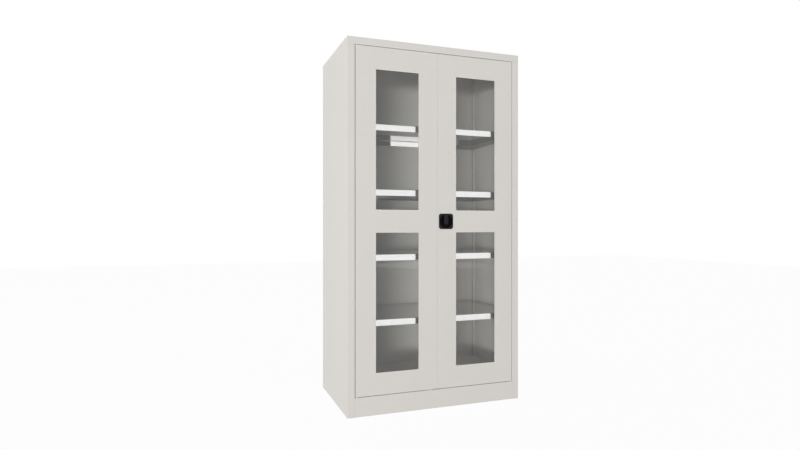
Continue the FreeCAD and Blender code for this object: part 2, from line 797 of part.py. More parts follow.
def handle_grip():
    """Upright bar with a round tail, a boss on the dish floor, a key cylinder bore and a socket."""
    half = grip_width / 2
    reach = dish_radius - grip_end_play
    face = front - grip_proud
    tail_z = handle_z - grip_tail + half
    bar = box(handle_x - half, handle_x + half, face, face + grip_depth, tail_z, handle_z + reach)
    bar = bar.common(rod(reach, vec(handle_x, face, handle_z), vec(handle_x, face + grip_depth, handle_z)))
    tail = rod(half, vec(handle_x, face, tail_z), vec(handle_x, face + grip_depth, tail_z))
    bar = bar.fuse(tail).removeSplitter()
    rim = [edge for edge in bar.Edges if edge.BoundBox.YMax < face + grip_edge / 2]
    bar = bar.makeFillet(grip_edge, rim)
    boss = rod(grip_boss_radius, vec(handle_x, face + grip_depth / 2, handle_z),
               vec(handle_x, dish_floor - grip_floor_play, handle_z))
    grip = bar.fuse(boss)
    bore = rod(cylinder_radius + pin_fit, vec(handle_x, face - overrun, handle_z),
               vec(handle_x, face + cylinder_length, handle_z))
    socket = spindle_socket(face + cylinder_length, dish_floor + overrun)
    return grip.cut(bore).cut(socket).removeSplitter()


def spindle_socket(y0, y1):
    half = spindle_square / 2
    return box(handle_x - half, handle_x + half, y0, y1, handle_z - half, handle_z + half)


def lock_cylinder():
    """Key cylinder in the grip, with its keyway."""
    face = front - grip_proud
    plug = rod(cylinder_radius, vec(handle_x, face, handle_z),
               vec(handle_x, face + cylinder_length - pin_fit, handle_z))
    keyway = box(handle_x - keyway_width / 2, handle_x + keyway_width / 2,
                 face - overrun, face + keyway_depth,
                 handle_z - keyway_height / 2, handle_z + keyway_height / 2)
    return plug.cut(keyway)


def involute_point(base, radius, start):
    """Point at a radius of the involute that leaves the base circle at an angle."""
    roll = math.sqrt(max((radius / base) ** 2 - 1, 0))
    angle = start + roll - math.atan(roll)
    return vec(radius * math.cos(angle), 0, radius * math.sin(angle))


def turned(point, angle):
    """Point turned in the plane of the gear."""
    return vec(point.x * math.cos(angle) - point.z * math.sin(angle), 0,
               point.x * math.sin(angle) + point.z * math.cos(angle))


def flipped(point):
    return vec(point.x, 0, -point.z)


def gear_outline():
    """Closed outline of the pinion round the origin, with a tooth on +X and involute flanks."""
    base = pitch_radius * math.cos(math.radians(pressure_angle))
    tip = pitch_radius + gear_module
    root = pitch_radius - gear_module - root_clearance
    roll = math.tan(math.radians(pressure_angle))
    half_width_angle = (math.pi * gear_module - gear_backlash) / (4 * pitch_radius)
    half_tooth = half_width_angle + roll - math.radians(pressure_angle)
    flank = [involute_point(base, radius, -half_tooth) for radius in (base, pitch_radius, tip)]
    foot = vec(root * math.cos(half_tooth), 0, -root * math.sin(half_tooth))
    step = 2 * math.pi / gear_teeth
    edges = []
    for tooth in range(gear_teeth):
        angle = tooth * step
        low = [turned(point, angle) for point in [foot] + flank]
        high = [turned(flipped(point), angle) for point in [foot] + flank]
        crest = turned(vec(tip, 0, 0), angle)
        valley = turned(vec(root, 0, 0), angle + step / 2)
        next_foot = turned(foot, angle + step)
        edges.append(Part.makeLine(low[0], low[1]))
        edges.append(Part.Arc(low[1], low[2], low[3]).toShape())
        edges.append(Part.Arc(low[3], crest, high[3]).toShape())
        edges.append(Part.Arc(high[3], high[2], high[1]).toShape())
        edges.append(Part.makeLine(high[1], high[0]))
        edges.append(Part.Arc(high[0], valley, next_foot).toShape())
    return Part.Wire(edges)


def drive_spindle():
    """Spindle with its square for the grip, its journal, its pinion and its tail."""
    pinion = Part.Face(gear_outline()).extrude(vec(0, rod_thickness + rod_play * 2, 0))
    pinion.translate(vec(handle_x, gear_front, handle_z))
    gear_back = gear_front + rod_thickness + rod_play * 2
    square = spindle_socket(front - grip_proud + cylinder_length, dish_floor)
    journal = rod(spindle_radius, vec(handle_x, dish_floor - grip_floor_play, handle_z),
                  vec(handle_x, gear_front, handle_z))
    tail = rod(spindle_tail_radius, vec(handle_x, gear_back, handle_z),
               vec(handle_x, case_back + spindle_tail_reach, handle_z))
    return pinion.fuse([square, journal, tail]).removeSplitter()


def rack_outline(facing):
    """Toothed edge of a rod round the pinion's axis; facing is 1 for the rod left of the spindle."""
    pitch = math.pi * gear_module
    slope = math.tan(math.radians(pressure_angle))
    half_thick = (pitch / 2 - gear_backlash) / 2
    crest = half_thick - gear_module * slope
    foot = half_thick + (gear_module + root_clearance) * slope
    crest_x = gear_module - pitch_radius
    foot_x = -pitch_radius - gear_module - root_clearance
    points = []
    for tooth in range(rack_teeth):
        middle = (tooth - (rack_teeth - 1) / 2) * pitch
        points += [vec(foot_x, 0, middle - foot), vec(crest_x, 0, middle - crest),
                   vec(crest_x, 0, middle + crest), vec(foot_x, 0, middle + foot)]
    return [vec(point.x * facing, 0, point.z) for point in points]


def lock_rod(facing, tip):
    """Flat rod with a rack at the pinion; facing is 1 left of the spindle and tip is its far end."""
    teeth = rack_outline(facing)
    back_x = facing * (-pitch_radius - gear_module - root_clearance - rod_width)
    if facing < 0:
        teeth.reverse()
    inner_end = teeth[0].z
    far_end = tip - handle_z
    back = [vec(teeth[-1].x, 0, far_end), vec(back_x, 0, far_end), vec(back_x, 0, inner_end), teeth[0]]
    outline = teeth + back
    bar = Part.Face(Part.makePolygon(outline)).extrude(vec(0, rod_thickness, 0))
    bar.translate(vec(handle_x, rod_front, handle_z))
    return bar


def upper_rod():
    return lock_rod(1, door_top - rod_tip_gap)


def lower_rod():
    return lock_rod(-1, door_bottom + rod_tip_gap)


def lock_case():
    """Channel over the pinion and the racks, screwed to the bosses of the rosette."""
    inside = pitch_radius + gear_module + root_clearance + rod_width + case_side_play
    outside = inside + case_sheet
    path = [vec(handle_x - outside, dish_back, 0), vec(handle_x - outside, case_back, 0),
            vec(handle_x + outside, case_back, 0), vec(handle_x + outside, dish_back, 0)]
    case = folded_sheet(path, case_sheet, vec(0, 0, 1), case_height)
    case.translate(vec(0, 0, handle_z - case_height / 2))
    case = case.cut(rod(spindle_tail_radius + pin_fit, vec(handle_x, dish_back, handle_z),
                        vec(handle_x, case_back + overrun, handle_z)))
    for z in boss_heights():
        case = case.cut(rod(case_screw_radius + hole_play, vec(handle_x, dish_back, z),
                            vec(handle_x, case_back + overrun, z)))
    return case


def lock_screws():
    screws = []
    for z in boss_heights():
        shank = rod(case_screw_radius, vec(handle_x, dish_back, z), vec(handle_x, case_back, z))
        screws.append(shank.fuse(screw_head(handle_x, case_back, z)).removeSplitter())
    return Part.makeCompound(screws)


def rod_guide(x, z):
    """Block on the door skin with a slot for a rod."""
    half = rod_width / 2 + guide_margin
    block = box(x - half, x + half, skin_back, rod_front + rod_thickness + rod_play + guide_backing,
                z - guide_height / 2, z + guide_height / 2)
    slot = rod_width / 2 + rod_play
    return block.cut(box(x - slot, x + slot, rod_front - rod_play, rod_front + rod_thickness + rod_play,
                         z - guide_height, z + guide_height))


def rod_guides():
    blocks = []
    for share in (guide_near_share, guide_far_share):
        reach = (door_top - handle_z) * share
        blocks.append(rod_guide(handle_x - pitch_radius - rack_offset(), handle_z + reach))
        blocks.append(rod_guide(handle_x + pitch_radius + rack_offset(), handle_z - reach))
    return Part.makeCompound(blocks)


def build():
    """Every node of the cabinet by name."""
    nodes = {}
    nodes["left_side_panel"] = side_panel()
    nodes["right_side_panel"] = mirrored(nodes["left_side_panel"])
    nodes["top_panel"] = top_panel()
    nodes["front_plinth"] = front_plinth()
    nodes["rear_plinth"] = rear_plinth()
    nodes["floor_panel"] = floor_panel()
    nodes["back_panel"] = back_panel()
    for name, place in zip(("front", "rear"), upright_places()):
        nodes[name + "_left_upright"] = upright(place)
        nodes[name + "_right_upright"] = mirrored(nodes[name + "_left_upright"])
    for number, top in enumerate(shelf_tops):
        nodes["shelf_%d" % (number + 1)] = shelf(top)
    nodes["shelf_clips"] = shelf_clips()
    nodes["hinge_bushes"] = hinge_bushes()
    nodes["top_stop"] = top_stop()
    nodes["door_buffers"] = door_buffers()
    nodes["bolt_strike"] = bolt_strike()
    nodes["left_door_pan"] = left_door_pan()
    nodes["right_door_pan"] = right_door_pan()
    for door, side in (("left", -1), ("right", 1)):
        for place, bottom in (("upper", upper_window_bottom), ("lower", lower_window_bottom)):
            nodes["%s_%s_glass" % (door, place)] = glass(side, bottom)
            nodes["%s_%s_gasket" % (door, place)] = gasket(side, bottom)
            nodes["%s_%s_retainer" % (door, place)] = retainer(side, bottom)
        nodes[door + "_retainer_screws"] = retainer_screws(side)
        nodes[door + "_hinge_pins"] = hinge_pins(side)
        nodes[door + "_hinge_brackets"] = hinge_brackets(side)
        nodes[door + "_hinge_stiffener"] = hinge_stiffener(side)
    nodes["left_meeting_stiffener"] = left_meeting_stiffener()
    nodes["meeting_seal"] = meeting_seal()
    nodes["foot_bolt"] = foot_bolt()
    nodes["bolt_guides"] = bolt_guides()
    nodes["handle_rosette"] = handle_rosette()
    nodes["handle_grip"] = handle_grip()
    nodes["lock_cylinder"] = lock_cylinder()
    nodes["drive_spindle"] = drive_spindle()
    nodes["upper_rod"] = upper_rod()
    nodes["lower_rod"] = lower_rod()
    nodes["lock_case"] = lock_case()
    nodes["lock_screws"] = lock_screws()
    nodes["rod_guides"] = rod_guides()
    return nodes


os.makedirs("parts", exist_ok=True)
for node_name, node_shape in build().items():
    node_shape.exportStep("parts/%s.step" % node_name)
    solids = node_shape.Solids
    print(node_name, len(solids), round(node_shape.Volume), all(solid.isValid() for solid in solids))
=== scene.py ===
import json
import math

import bpy
import numpy as np
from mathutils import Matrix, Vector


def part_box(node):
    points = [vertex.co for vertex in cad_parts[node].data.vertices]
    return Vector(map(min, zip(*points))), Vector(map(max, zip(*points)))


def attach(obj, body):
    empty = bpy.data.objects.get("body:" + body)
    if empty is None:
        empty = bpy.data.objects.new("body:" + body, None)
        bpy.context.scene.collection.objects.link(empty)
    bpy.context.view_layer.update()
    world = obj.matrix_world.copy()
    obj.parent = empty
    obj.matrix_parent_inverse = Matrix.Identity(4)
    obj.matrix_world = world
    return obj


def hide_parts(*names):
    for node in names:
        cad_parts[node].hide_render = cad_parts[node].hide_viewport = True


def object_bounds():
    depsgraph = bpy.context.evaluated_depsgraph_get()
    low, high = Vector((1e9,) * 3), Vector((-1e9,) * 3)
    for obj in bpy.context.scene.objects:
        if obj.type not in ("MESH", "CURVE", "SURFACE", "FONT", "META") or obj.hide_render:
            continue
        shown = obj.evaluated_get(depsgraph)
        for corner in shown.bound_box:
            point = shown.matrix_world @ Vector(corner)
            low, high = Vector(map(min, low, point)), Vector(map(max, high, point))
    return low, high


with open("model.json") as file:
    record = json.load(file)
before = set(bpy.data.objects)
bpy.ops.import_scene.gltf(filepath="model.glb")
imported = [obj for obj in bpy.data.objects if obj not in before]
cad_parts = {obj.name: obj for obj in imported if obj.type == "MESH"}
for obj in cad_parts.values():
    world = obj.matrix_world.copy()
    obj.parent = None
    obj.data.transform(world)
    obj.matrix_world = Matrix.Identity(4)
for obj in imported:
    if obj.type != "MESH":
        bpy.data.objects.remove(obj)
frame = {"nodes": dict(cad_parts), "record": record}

CAD_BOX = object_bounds()
# Colour and strength at which a background renders white
WHITE = (1.0, 1.0, 1.0, 1.0)
WHITE_LEVEL = 1.0
# Where most values of a noise lie
NOISE_SPAN = (0.3, 0.7)
# Turn from one screw to the next, so that no two recesses line up
GOLDEN_ANGLE = math.pi * (3.0 - math.sqrt(5.0))

bl_info = {
    "name": "Double-door cabinet",
    "version": (1, 0, 0),
    "blender": (4, 5, 0),
    "location": "3D View > Sidebar > Cabinet",
    "description": "Finishes, screws, buffers and stage of a glazed sheet steel cabinet",
    "category": "Add Mesh",
}


# Settings

class PaintSettings(bpy.types.PropertyGroup):
    """Powder coat of the carcass and the doors."""

    coat_colour: bpy.props.FloatVectorProperty(
        name="Coat colour", description="Light warm grey of the powder coat", subtype="COLOR",
        size=3, min=0.0, max=1.0, default=(0.660, 0.640, 0.604))
    coat_roughness: bpy.props.FloatProperty(
        name="Coat roughness", description="Satin of the powder coat", subtype="FACTOR",
        min=0.0, max=1.0, default=0.46)
    peel_grain: bpy.props.FloatProperty(
        name="Peel grain", description="Width of one dimple of the orange peel", unit="LENGTH",
        default=0.0016)
    peel_height: bpy.props.FloatProperty(
        name="Peel height", description="Depth of the orange peel", unit="LENGTH", default=0.00006)
    # Painted shade: the uprights' coat is a darker copy of the powder coat, which dims the light on their
    # edges
    upright_painted_shade: bpy.props.FloatProperty(
        name="Upright shade", description="Lightness of the thin coat on the uprights", subtype="FACTOR",
        min=0.0, max=1.0, default=0.92)


class MetalSettings(bpy.types.PropertyGroup):
    """Plated shelves, fittings and the key cylinder."""

    shelf_colour: bpy.props.FloatVectorProperty(
        name="Shelf colour", description="Bright zinc of the shelves", subtype="COLOR",
        size=3, min=0.0, max=1.0, default=(0.888, 0.866, 0.868))
    shelf_roughness: bpy.props.FloatProperty(
        name="Shelf roughness", description="Polish of the shelves", subtype="FACTOR",
        min=0.0, max=1.0, default=0.04)
    # Painted shade: the primer colour is a dark copy of the powder coat, which darkens the shelves' end
    # folds and rear corners and their reflections in the shelves
    primer_shade_colour: bpy.props.FloatVectorProperty(
        name="Primer colour", description="Primer on the welded folds of the shelves", subtype="COLOR",
        size=3, min=0.0, max=1.0, default=(0.285, 0.277, 0.262))
    primer_roughness: bpy.props.FloatProperty(
        name="Primer roughness", description="Dullness of the primer", subtype="FACTOR",
        min=0.0, max=1.0, default=0.5)
    primer_shade_depth: bpy.props.FloatProperty(
        name="Weld depth", description="Depth of the primer at the ends and the rear of a shelf",
        unit="LENGTH", default=0.006)
    primer_shade_length: bpy.props.FloatProperty(
        name="Weld length", description="Length of the primer on the rear fold from each end of a shelf",
        unit="LENGTH", default=0.095)
    fitting_colour: bpy.props.FloatVectorProperty(
        name="Fitting colour", description="Satin zinc of pins, rods and screws", subtype="COLOR",
        size=3, min=0.0, max=1.0, default=(0.62, 0.63, 0.64))
    nickel_colour: bpy.props.FloatVectorProperty(
        name="Cylinder colour", description="Black nickel of the key cylinder", subtype="COLOR",
        size=3, min=0.0, max=1.0, default=(0.022, 0.022, 0.023))


class TrimSettings(bpy.types.PropertyGroup):
    """Glass, rubber, plastic and nylon."""

    glass_colour: bpy.props.FloatVectorProperty(
        name="Glass colour", description="Tint of the panes", subtype="COLOR",
        size=3, min=0.0, max=1.0, default=(0.985, 0.995, 0.990))
    plastic_colour: bpy.props.FloatVectorProperty(
        name="Plastic colour", description="Black of the rosette and the grip", subtype="COLOR",
        size=3, min=0.0, max=1.0, default=(0.021, 0.021, 0.0215))
    # Painted shade: the finger dish gets a much darker black than the same plastic in front, for the shade
    # that falls in it
    dish_shade_colour: bpy.props.FloatVectorProperty(
        name="Dish colour", description="Deeper black of the finger dish", subtype="COLOR",
        size=3, min=0.0, max=1.0, default=(0.0022, 0.0022, 0.0023))
    rubber_colour: bpy.props.FloatVectorProperty(
        name="Rubber colour", description="Black of gaskets and buffers", subtype="COLOR",
        size=3, min=0.0, max=1.0, default=(0.020, 0.020, 0.020))
    seal_colour: bpy.props.FloatVectorProperty(
        name="Seal colour", description="Light grey of the meeting strip", subtype="COLOR",
        size=3, min=0.0, max=1.0, default=(0.660, 0.640, 0.604))
    nylon_colour: bpy.props.FloatVectorProperty(
        name="Nylon colour", description="White of the bushes and the strike", subtype="COLOR",
        size=3, min=0.0, max=1.0, default=(0.84, 0.84, 0.82))


class FixingSettings(bpy.types.PropertyGroup):
    """Screws and door buffers."""

    head_radius: bpy.props.FloatProperty(
        name="Head radius", description="Radius of a screw head", unit="LENGTH", default=0.0035)
    head_height: bpy.props.FloatProperty(
        name="Head height", description="Height of a screw head", unit="LENGTH", default=0.0016)
    shank_radius: bpy.props.FloatProperty(
        name="Shank radius", description="Radius of the lock screws' shanks", unit="LENGTH", default=0.002)
    recess_width: bpy.props.FloatProperty(
        name="Recess width", description="Width of one arm of the cross recess", unit="LENGTH",
        default=0.0011)
    recess_reach: bpy.props.FloatProperty(
        name="Recess reach", description="Reach of the cross recess from the middle", unit="LENGTH",
        default=0.0021)
    recess_depth: bpy.props.FloatProperty(
        name="Recess depth", description="Depth of the cross recess", unit="LENGTH", default=0.0009)
    screws_per_side: bpy.props.IntProperty(
        name="Screws per side", description="Screws on each side of a retainer", default=3)
    retainer_reach: bpy.props.FloatProperty(
        name="Retainer reach", description="How far a retainer runs past its window", unit="LENGTH",
        default=0.0265)
    buffer_width: bpy.props.FloatProperty(
        name="Buffer width", description="Width of a door buffer", unit="LENGTH", default=0.016)
    buffer_height: bpy.props.FloatProperty(
        name="Buffer height", description="Height of a door buffer", unit="LENGTH", default=0.009)
    sill_sheet: bpy.props.FloatProperty(
        name="Sill sheet", description="Sheet behind the lower buffers", unit="LENGTH", default=0.0012)


class StageSettings(bpy.types.PropertyGroup):
    """Floor, light and camera."""

    floor_size: bpy.props.FloatProperty(
        name="Floor size", description="Edge of the floor", unit="LENGTH", default=24.0)
    floor_colour: bpy.props.FloatVectorProperty(
        name="Floor colour", description="Pale grey of the floor in the light", subtype="COLOR",
        size=3, min=0.0, max=1.0, default=(0.9, 0.9, 0.9))
    floor_glow: bpy.props.FloatProperty(
        name="Floor glow", description="Share of plain white in the floor that the camera sees",
        subtype="FACTOR", min=0.0, max=1.0, default=0.95)
    sky_level: bpy.props.FloatProperty(
        name="Sky level", description="Strength of the surrounding light", default=0.63)
    key_place: bpy.props.FloatVectorProperty(
        name="Key place", description="Where the lamp in front stands", subtype="TRANSLATION", size=3,
        default=(-6.5, -10.08, 0.6))
    key_size: bpy.props.FloatVectorProperty(
        name="Key size", description="Width and height of the lamp in front", unit="LENGTH", size=2,
        default=(5.0, 1.2))
    key_power: bpy.props.FloatProperty(
        name="Key power", description="Power of the lamp in front", unit="POWER", default=590.0)
    side_place: bpy.props.FloatVectorProperty(
        name="Side place", description="Where the lamp beside the cabinet stands", subtype="TRANSLATION",
        size=3, default=(-9.0, 1.0, 1.4))
    side_size: bpy.props.FloatVectorProperty(
        name="Side size", description="Width and height of the lamp beside the cabinet", unit="LENGTH",
        size=2, default=(4.0, 4.0))
    side_power: bpy.props.FloatProperty(
        name="Side power", description="Power of the lamp beside the cabinet", unit="POWER", default=127.0)
    low_place: bpy.props.FloatVectorProperty(
        name="Low place", description="Where the low lamp in front stands", subtype="TRANSLATION", size=3,
        default=(3.7, -9.15, 0.08))
    low_size: bpy.props.FloatVectorProperty(
        name="Low size", description="Width and height of the low lamp", unit="LENGTH", size=2,
        default=(2.6, 0.16))
    low_power: bpy.props.FloatProperty(
        name="Low power", description="Power of the low lamp", unit="POWER", default=0.6)
    camera_place: bpy.props.FloatVectorProperty(
        name="Camera place", description="Where the camera stands", subtype="TRANSLATION", size=3,
        default=(-1.2176, -3.0634, 0.9855))
    camera_tilt: bpy.props.FloatProperty(
        name="Camera tilt", description="Tilt of the camera from straight down", subtype="ANGLE",
        default=math.radians(90.0))
    camera_turn: bpy.props.FloatProperty(
        name="Camera turn", description="Turn of the camera about the upright axis", subtype="ANGLE",
        default=math.radians(-19.89))
    camera_lens: bpy.props.FloatProperty(
        name="Camera lens", description="Focal length in millimetres", default=25.21)
    camera_sensor: bpy.props.FloatProperty(
        name="Camera sensor", description="Width of the sensor in millimetres", default=36.0)


# Node helpers

def cleared(holder):
    """Empty node tree of a new material or world."""
    holder.use_nodes = True
    holder.node_tree.nodes.clear()
    return holder.node_tree


def plug(tree, value, target):
    """Links a socket to an input, or sets the input to a value."""
    if isinstance(value, bpy.types.NodeSocket):
        tree.links.new(value, target)
    else:
        target.default_value = value


def add_node(tree, kind, **inputs):
    """New node with some inputs linked or set, each by its name with _ for a blank."""
    node = tree.nodes.new("ShaderNode" + kind)
    for name, value in inputs.items():
        plug(tree, value, node.inputs[name.replace("_", " ")])
    return node


def reckon(tree, operation, *values):
    """Result of one Math node on its values, each a socket or a number."""
    node = add_node(tree, "Math")
    node.operation = operation
    for value, target in zip(values, node.inputs):
        plug(tree, value, target)
    return node.outputs["Value"]


def mix_shaders(tree, choice, first, second):
    """First shader where choice is 0 and second shader where it is 1."""
    node = add_node(tree, "MixShader")
    for source, target in zip((choice, first, second), node.inputs):
        plug(tree, source, target)
    return node.outputs["Shader"]


class Finish:
    """A material with one Principled shader and the helpers that feed it."""

    def __init__(self, name, **inputs):
        self.material = bpy.data.materials.new(name)
        self.tree = cleared(self.material)
        self.shader = self.add("BsdfPrincipled", **inputs)
        self.output = self.add("OutputMaterial", Surface=self.shader.outputs["BSDF"])
        self.place = self.add("TexCoord").outputs["Object"]

    def add(self, kind, **inputs):
        """New node of this material."""
        return add_node(self.tree, kind, **inputs)

    def reckon(self, operation, *values):
        """Result of one Math node of this material."""
        return reckon(self.tree, operation, *values)

    def feed(self, source, socket):
        """Drives one input of the shader."""
        plug(self.tree, source, self.shader.inputs[socket])

    def noise(self, scale, detail=2.0, stretch=(1.0, 1.0, 1.0)):
        """Cloudy value from 0 to 1 with scale features in a metre, times the stretch of each axis."""
        place = self.add("Mapping", Vector=self.place, Scale=stretch).outputs["Vector"]
        return self.add("TexNoise", Vector=place, Scale=scale, Detail=detail).outputs[0]

    def cells(self, scale):
        """Value of one cell from 0 to 1, as the crystals of a zinc coat."""
        colour = self.add("TexVoronoi", Vector=self.place, Scale=scale).outputs["Color"]
        return self.add("SeparateColor", Color=colour).outputs["Red"]

    def ramp(self, value, start, end, low=0.0, high=1.0):
        """Low up to start, high from end on and an even ramp between."""
        node = self.add("MapRange", Value=value, From_Min=start, From_Max=end, To_Min=low, To_Max=high)
        return node.outputs["Result"]

    def ranged(self, noise, low, high):
        """Noise spread from low to high."""
        return self.ramp(noise, *NOISE_SPAN, low, high)

    def coordinate(self, axis):
        """Place along one axis in metres."""
        return self.add("SeparateXYZ", Vector=self.place).outputs[axis]

    def along(self, axis, start, end):
        """0 before start and 1 after end of an axis, with an even ramp between."""
        return self.ramp(self.coordinate(axis), start, end)

    def beyond(self, axis, limit):
        """1 further than limit from the middle plane of an axis and 0 within it."""
        return self.reckon("GREATER_THAN", self.reckon("ABSOLUTE", self.coordinate(axis)), limit)

    def mixed(self, choice, first, second):
        """First colour where choice is 0 and second colour where it is 1, each a socket or a value."""
        node = self.add("Mix", Factor=choice)
        node.data_type = "RGBA"
        ends = [socket for socket in node.inputs if socket.type == "RGBA"]
        for colour, target in zip((first, second), ends):
            plug(self.tree, colour, target)
        return next(socket for socket in node.outputs if socket.type == "RGBA")

    def tinted(self, noise, colour, low, high):
        """Colour that goes from low to high times itself with a noise."""
        ends = [(*shade(colour, factor), 1.0) for factor in (low, high)]
        return self.mixed(self.ranged(noise, 0.0, 1.0), *ends)

    def drift(self, colour, scale, detail, low, high):
        """Drives the colour with a noise of its own, and gives that noise."""
        noise = self.noise(scale, detail)
        self.feed(self.tinted(noise, colour, low, high), "Base Color")
        return noise

    def gloss(self, noise, low, high):
        """Drives the roughness from low to high with a noise."""
        self.feed(self.ranged(noise, low, high), "Roughness")

    def bump(self, noise, depth, strength=1.0):
        """Relief that is depth metres deep over the whole range of a noise."""
        node = self.add("Bump", Height=noise, Distance=depth, Strength=strength)
        self.feed(node.outputs["Normal"], "Normal")


def shade(colour, factor):
    """The colour times a factor."""
    return tuple(min(1.0, c * factor) for c in colour)


def dress(names, material):
    """Gives the CAD nodes their finish."""
    for name in names:
        mesh = frame["nodes"][name].data
        mesh.materials.clear()
        mesh.materials.append(material)


def in_slot(slot):
    """Names of the CAD nodes whose record gives this finish."""
    return [part["node"] for part in frame["record"]["subparts"] if part["material_slot"] == slot]


# Finishes

class CABINET_OT_coat_sheets(bpy.types.Operator):
    """Powder coat on every folded sheet of the carcass and the doors, with a darker copy on the uprights as
    painted shade
    """

    bl_idname = "cabinet.coat_sheets"
    bl_label = "Coat the sheets"

    gloss_change = 0.05

    def execute(self, context):
        paint = context.scene.cabinet_paint
        coated = in_slot("body_paint")
        uprights = [name for name in coated if name.endswith("_upright")]
        dress(coated, self.coat("powder_coat", paint.coat_colour, paint))
        # Painted shade: the uprights get a darker copy of the coat, which dims the light on their edges
        dress(uprights, self.coat("upright_coat", shade(paint.coat_colour, paint.upright_painted_shade), paint))
        return {"FINISHED"}

    def coat(self, name, colour, paint):
        """Faintly clouded colour with speckled gloss and orange peel."""
        middle = paint.coat_roughness
        finish = Finish(name, Roughness=middle, Specular_IOR_Level=0.35)
        finish.drift(colour, scale=3.0, detail=3.0, low=0.992, high=1.006)
        speckle = finish.noise(scale=260.0)
        finish.gloss(speckle, low=middle - self.gloss_change, high=middle + self.gloss_change)
        finish.bump(finish.noise(scale=1.0 / paint.peel_grain, detail=1.5), depth=paint.peel_height)
        return finish.material


class CABINET_OT_plate_shelves(bpy.types.Operator):
    """Bright zinc with faint rolling lines and crystals on the shelves, whose end folds and rear corners get
    a dull primer that is dark as painted shade
    """

    bl_idname = "cabinet.plate_shelves"
    bl_label = "Plate the shelves"

    mirror_tint = (0.8, 0.8, 0.8, 1.0)
    rolling_stretch = (0.15, 12.0, 12.0)
    gloss_below = 0.02
    gloss_above = 0.03
    primer_shade_edge = 0.001

    def execute(self, context):
        metal = context.scene.cabinet_metal
        polish = metal.shelf_roughness
        finish = Finish("bright_zinc", Metallic=1.0, Roughness=polish, Specular_Tint=self.mirror_tint)
        crystal = finish.cells(scale=55.0)
        lines = finish.noise(scale=40.0, detail=3.0, stretch=self.rolling_stretch)
        painted_shade_folds = self.painted_shade_folds(finish, metal)
        zinc = finish.tinted(crystal, metal.shelf_colour, low=0.97, high=1.0)
        # Painted shade: the dull primer's dark colour, a shaded copy of the powder coat
        primer = finish.tinted(crystal, metal.primer_shade_colour, low=0.97, high=1.03)
        finish.feed(finish.mixed(painted_shade_folds, zinc, primer), "Base Color")
        gloss = finish.ranged(lines, low=polish - self.gloss_below, high=polish + self.gloss_above)
        finish.feed(finish.ramp(painted_shade_folds, 0.0, 1.0, low=gloss, high=metal.primer_roughness), "Roughness")
        finish.feed(finish.reckon("SUBTRACT", 1.0, painted_shade_folds), "Metallic")
        finish.bump(lines, depth=0.000008)
        dress(in_slot("bright_zinc"), finish.material)
        return {"FINISHED"}

    def painted_shade_folds(self, finish, metal):
        """Painted shade mask: 1 on the end folds and near the ends of the rear fold, 0 elsewhere."""
        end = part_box("shelf_1")[1]
        rear = end[1] - metal.primer_shade_depth
        near_end = finish.beyond("X", end[0] - metal.primer_shade_length)
        at_rear = finish.along("Y", rear - self.primer_shade_edge, rear)
        end_fold = finish.beyond("X", end[0] - metal.primer_shade_depth)
        return finish.reckon("MAXIMUM", end_fold, finish.reckon("MULTIPLY", near_end, at_rear))


class CABINET_OT_plate_fittings(bpy.types.Operator):
    """Satin zinc on pins, brackets, clips, rods and screws, dark nickel on the key cylinder"""

    bl_idname = "cabinet.plate_fittings"
    bl_label = "Plate the fittings"

    def execute(self, context):
        metal = context.scene.cabinet_metal
        zinc = Finish("satin_zinc", Metallic=1.0, Roughness=0.36)
        zinc.drift(metal.fitting_colour, scale=90.0, detail=4.0, low=0.86, high=1.06)
        zinc.gloss(zinc.noise(scale=420.0, detail=3.0), low=0.28, high=0.44)
        zinc.bump(zinc.noise(scale=900.0), depth=0.00003)
        dress(in_slot("zinc_steel"), zinc.material)
        nickel = Finish("dark_nickel", Metallic=1.0, Roughness=0.28)
        cloud = nickel.drift(metal.nickel_colour, scale=700.0, detail=3.0, low=0.8, high=1.2)
        nickel.gloss(cloud, low=0.24, high=0.36)
        dress(in_slot("dark_chrome"), nickel.material)
        return {"FINISHED"}


class CABINET_OT_clear_panes(bpy.types.Operator):
    """Clear float glass that lets the light of the lamps through"""

    bl_idname = "cabinet.clear_panes"
    bl_label = "Clear the panes"

    def execute(self, context):
        trim = context.scene.cabinet_trim
        finish = Finish("clear_glass", Roughness=0.0, Transmission_Weight=1.0, IOR=1.5)
        finish.drift(trim.glass_colour, scale=4.0, detail=2.0, low=0.995, high=1.0)
        clear = finish.add("BsdfTransparent", Color=(*trim.glass_colour, 1.0))
        shadow = finish.add("LightPath").outputs["Is Shadow Ray"]
        pane = mix_shaders(finish.tree, shadow, finish.shader.outputs["BSDF"], clear.outputs["BSDF"])
        plug(finish.tree, pane, finish.output.inputs["Surface"])
        dress(in_slot("clear_glass"), finish.material)
        return {"FINISHED"}


